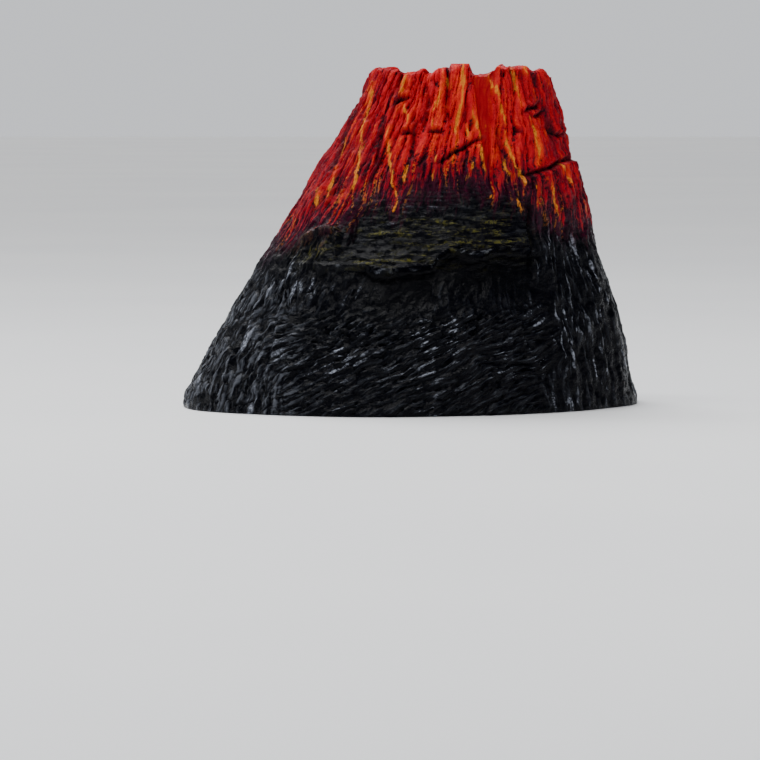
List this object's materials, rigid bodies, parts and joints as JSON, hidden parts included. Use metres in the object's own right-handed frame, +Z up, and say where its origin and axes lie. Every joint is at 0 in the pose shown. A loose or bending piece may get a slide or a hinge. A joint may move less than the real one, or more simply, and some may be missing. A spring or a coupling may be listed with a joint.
{
  "type": "aquarium volcano ornament",
  "caption": "Hollow painted rock volcano that stands over a lit air bubbler, with an open crater and a rear arch for the air line and cable.",
  "frame": {"origin": "centre under the casting's bounding box, on the surface that the ornament stands on", "axes": "+Z up through the crater, -Y towards the front, +X to the right along the longest side"},
  "size_m": [0.1532, 0.1236, 0.114],
  "materials": {
    "painted_resin": "satin paint over cast resin, red and orange crown fading to black rock",
    "black_plastic": "fine moulded texture",
    "grey_plastic": "smooth moulding",
    "clear_plastic": "clear polished window",
    "black_rubber": "matt",
    "soft_vinyl": "soft, cloudy clear vinyl",
    "green_laminate": "solder mask over glass laminate",
    "led_body": "moulded body with a clear dome",
    "resistor_ceramic": "glazed chip",
    "potting_epoxy": "poured and level",
    "screw_steel": "stainless, bright",
    "sintered_stone": "open sintered grain"
  },
  "bodies": {
    "bubbler": {"base_housing": "black_plastic", "potting_resin": "potting_epoxy", "circuit_board": "green_laminate", "led_set": "led_body", "resistor_set": "resistor_ceramic", "outer_seal": "black_rubber", "neck_seal": "black_rubber", "clear_lens": "clear_plastic", "cover_ring": "black_plastic", "cover_screws": "screw_steel", "air_inlet": "grey_plastic", "inlet_seal": "black_rubber", "cable_gland": "black_rubber", "stone_seal": "black_rubber", "suction_cup_right": "soft_vinyl", "suction_cup_left": "soft_vinyl", "suction_cup_front": "soft_vinyl"},
    "air_stone_unit": {"stone_cup": "black_plastic", "air_stone": "sintered_stone"},
    "shell": {"volcano_casting": "painted_resin"}
  },
  "joints": [
    {"name": "shell_lift", "type": "slide", "parent": "bubbler", "child": "shell", "axis": [0, 0, 1], "range_m": [0, 0.125]},
    {"name": "air_stone_lift", "type": "slide", "parent": "bubbler", "child": "air_stone_unit", "axis": [0, 0, 1], "range_m": [0, 0.02]}
  ]
}
